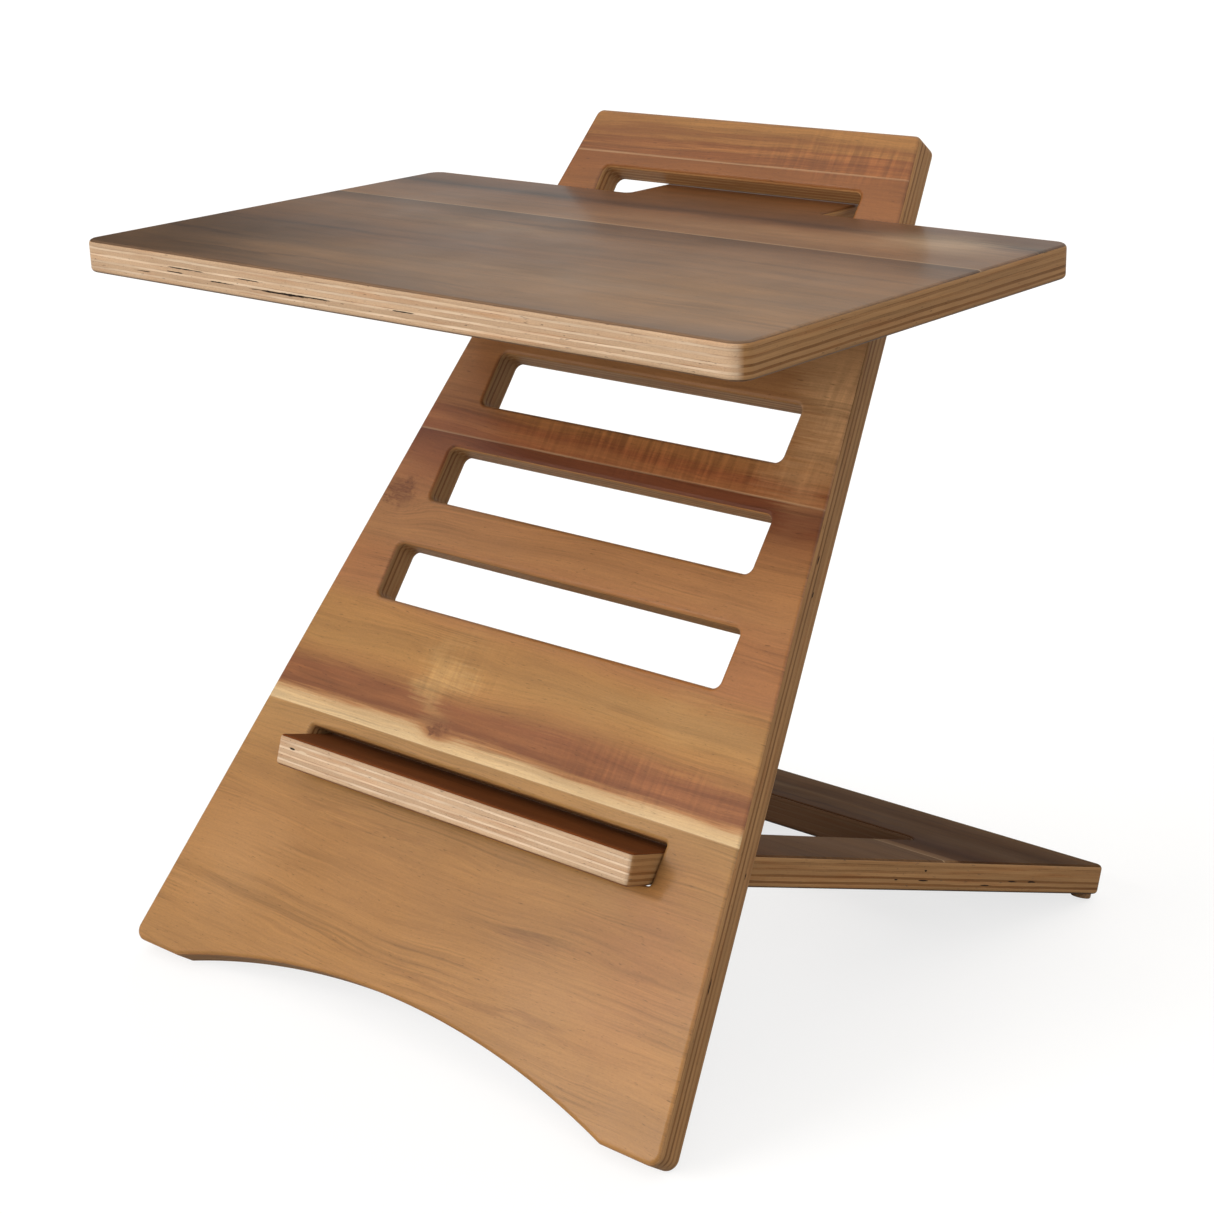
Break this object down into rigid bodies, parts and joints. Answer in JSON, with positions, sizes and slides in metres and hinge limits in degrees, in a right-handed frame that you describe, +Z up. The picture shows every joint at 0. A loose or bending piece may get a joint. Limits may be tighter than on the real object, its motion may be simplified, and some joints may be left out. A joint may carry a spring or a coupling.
{
  "type": "presentation lectern",
  "caption": "Slot-together plywood lectern for a table: a leaning slotted spine board, a level desktop wedged in a slot, and a sloping leg whose tongue shows as a lip.",
  "frame": {"origin": "under the middle of the whole lectern, on the surface that it stands on", "axes": "+X to the reader's right along the width, +Y from the reader's side to the back, +Z up"},
  "size_m": [0.455, 0.4098, 0.4577],
  "materials": {
    "spine_veneer": "satin varnish over golden brown face veneer",
    "desktop_veneer": "satin varnish over grey brown face veneer",
    "leg_veneer": "satin varnish over dark brown face veneer",
    "core_plies": "sanded and varnished plywood edge",
    "pad": "translucent brown, matte"
  },
  "bodies": {
    "spine": {"spine_front_veneer": "spine_veneer", "spine_core": "core_plies", "spine_back_veneer": "spine_veneer"},
    "desktop": {"desktop_top_veneer": "desktop_veneer", "desktop_core": "core_plies", "desktop_bottom_veneer": "desktop_veneer"},
    "leg": {"leg_top_veneer": "leg_veneer", "leg_core": "core_plies", "leg_bottom_veneer": "leg_veneer", "leg_pad_left": "pad", "leg_pad_right": "pad"}
  },
  "joints": [
    {"name": "desktop_slide", "type": "slide", "parent": "spine", "child": "desktop", "axis": [0, -1, 0], "range_m": [0, 0.065]},
    {"name": "leg_slide", "type": "slide", "parent": "spine", "child": "leg", "axis": [0, 0.9492, -0.3147], "range_m": [0, 0.045]}
  ]
}
